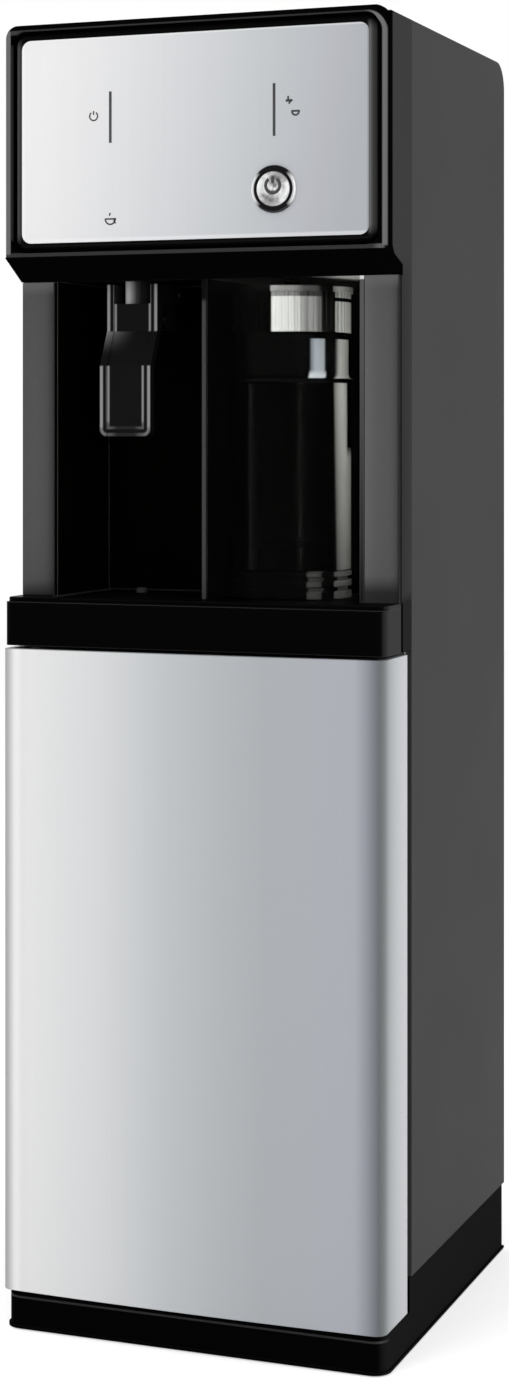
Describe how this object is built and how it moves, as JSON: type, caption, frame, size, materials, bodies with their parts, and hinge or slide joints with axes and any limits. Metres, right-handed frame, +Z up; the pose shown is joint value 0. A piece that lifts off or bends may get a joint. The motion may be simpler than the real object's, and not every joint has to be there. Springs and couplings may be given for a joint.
{
  "type": "point-of-use water cooler",
  "caption": "Floor-standing mains-fed water cooler with a push-lever tap bay, a glass hot tank behind a tinted window, a push-button panel and a hinged filter door.",
  "frame": {"origin": "on the floor, in the middle of the cooler's box", "axes": "+X to the right seen from the front, +Y towards the back, +Z up"},
  "size_m": [0.31, 0.3319, 1.005],
  "materials": {
    "casing_paint": "satin black powder coat",
    "frame_black": "fine matte black",
    "gloss_black": "polished black",
    "door_paint": "satin silver-white paint",
    "plate_silver": "fine satin",
    "chrome": "polished",
    "steel": "brushed",
    "galvanised": "galvanised sheet",
    "clear_glass": "clear",
    "tinted_window": "dark tint",
    "light_bar": "diffusing",
    "liner_grey": "fine matte",
    "white_plastic": "satin",
    "blue_plastic": "satin",
    "red_plastic": "polished",
    "green_plastic": "polished",
    "board_green": "solder mask",
    "rubber": "matte",
    "magnet": "ground",
    "foam": "closed foam",
    "hose_clear": "translucent",
    "spring_steel": "drawn wire"
  },
  "bodies": {
    "casing": {"plinth": "frame_black", "feet": "rubber", "side_panels": "casing_paint", "cheeks": "frame_black", "roof": "casing_paint", "back_panel": "galvanised", "back_screws": "steel", "hinge_pins": "steel", "door_posts": "galvanised", "door_magnet": "magnet", "deck": "frame_black", "deck_plate": "frame_black", "niche_liner": "frame_black", "jambs": "frame_black", "tank_window": "tinted_window", "window_trim": "gloss_black", "tank_base": "steel", "tank_glass": "clear_glass", "tank_cap": "steel", "head_frame": "frame_black", "panel_carrier": "gloss_black", "control_plate": "plate_silver", "light_bars": "light_bar", "button_bezel": "chrome", "button_spring": "spring_steel", "control_board": "board_green", "tap_body": "frame_black", "tap_nozzle": "chrome", "lever_pin": "steel", "plunger_spring": "spring_steel", "partition": "galvanised", "tank_shelf": "galvanised", "cold_tank": "steel", "cold_tank_foam": "foam", "compressor": "casing_paint", "compressor_mounts": "rubber", "condenser": "casing_paint", "filter_head": "white_plastic", "inlet_valve": "white_plastic", "hoses": "hose_clear", "service_recess": "frame_black", "water_ports": "white_plastic", "cord_gland": "frame_black", "switch_housing": "frame_black"},
    "door": {"door_panel": "door_paint", "door_liner": "liner_grey", "door_strike": "galvanised"},
    "button": {"button_cap": "chrome"},
    "lever": {"tap_lever": "gloss_black"},
    "plunger": {"tap_plunger": "white_plastic"},
    "tray": {"drip_tray": "frame_black"},
    "grille": {"drip_grille": "frame_black", "grille_knob": "chrome"},
    "cartridge_1": {"filter_1": "white_plastic"},
    "cartridge_2": {"filter_2": "white_plastic"},
    "cold_cap": {"cold_drain_cap": "blue_plastic"},
    "hot_cap": {"hot_drain_cap": "red_plastic"},
    "heat_switch": {"heat_rocker": "red_plastic"},
    "cool_switch": {"cool_rocker": "green_plastic"}
  },
  "joints": [
    {"name": "door_hinge", "type": "hinge", "parent": "casing", "child": "door", "pos_m": [-0.1458, -0.112, 0.278], "axis": [0, 0, -1], "range_deg": [0, 100]},
    {"name": "button_press", "type": "slide", "parent": "casing", "child": "button", "axis": [0, 1, 0], "range_m": [0, 0.003], "stiffness_N_per_m": 700, "deforming": ["button_spring"]},
    {"name": "lever_pivot", "type": "hinge", "parent": "casing", "child": "lever", "pos_m": [-0.0665, -0.069, 0.799], "axis": [1, 0, 0], "range_deg": [0, 12], "stiffness_Nm_per_rad": 0.6, "springref_deg": -20.05},
    {"name": "plunger_slide", "type": "slide", "parent": "casing", "child": "plunger", "axis": [0, 1, 0], "range_m": [0, 0.0036], "deforming": ["plunger_spring"]},
    {"name": "tray_lift", "type": "slide", "parent": "casing", "child": "tray", "axis": [0, 0, 1], "range_m": [0, 0.065]},
    {"name": "grille_lift", "type": "slide", "parent": "tray", "child": "grille", "axis": [0, 0, 1], "range_m": [0, 0.05]},
    {"name": "cartridge_1_twist", "type": "hinge", "parent": "casing", "child": "cartridge_1", "pos_m": [-0.055, -0.062, 0.26], "axis": [0, 0, 1], "range_deg": [0, 90]},
    {"name": "cartridge_2_twist", "type": "hinge", "parent": "casing", "child": "cartridge_2", "pos_m": [0.055, -0.062, 0.26], "axis": [0, 0, 1], "range_deg": [0, 90]},
    {"name": "cold_cap_off", "type": "slide", "parent": "casing", "child": "cold_cap", "axis": [0, 1, 0], "range_m": [0, 0.02]},
    {"name": "hot_cap_off", "type": "slide", "parent": "casing", "child": "hot_cap", "axis": [0, 1, 0], "range_m": [0, 0.02]},
    {"name": "heat_switch_rock", "type": "hinge", "parent": "casing", "child": "heat_switch", "pos_m": [0.083, 0.1572, 0.7], "axis": [1, 0, 0], "range_deg": [-18, 0]},
    {"name": "cool_switch_rock", "type": "hinge", "parent": "casing", "child": "cool_switch", "pos_m": [0.107, 0.1572, 0.7], "axis": [1, 0, 0], "range_deg": [-18, 0]}
  ],
  "couplings": [
    {"joint": "plunger_slide", "follows": "lever_pivot", "m_per_rad": 0.0165}
  ]
}
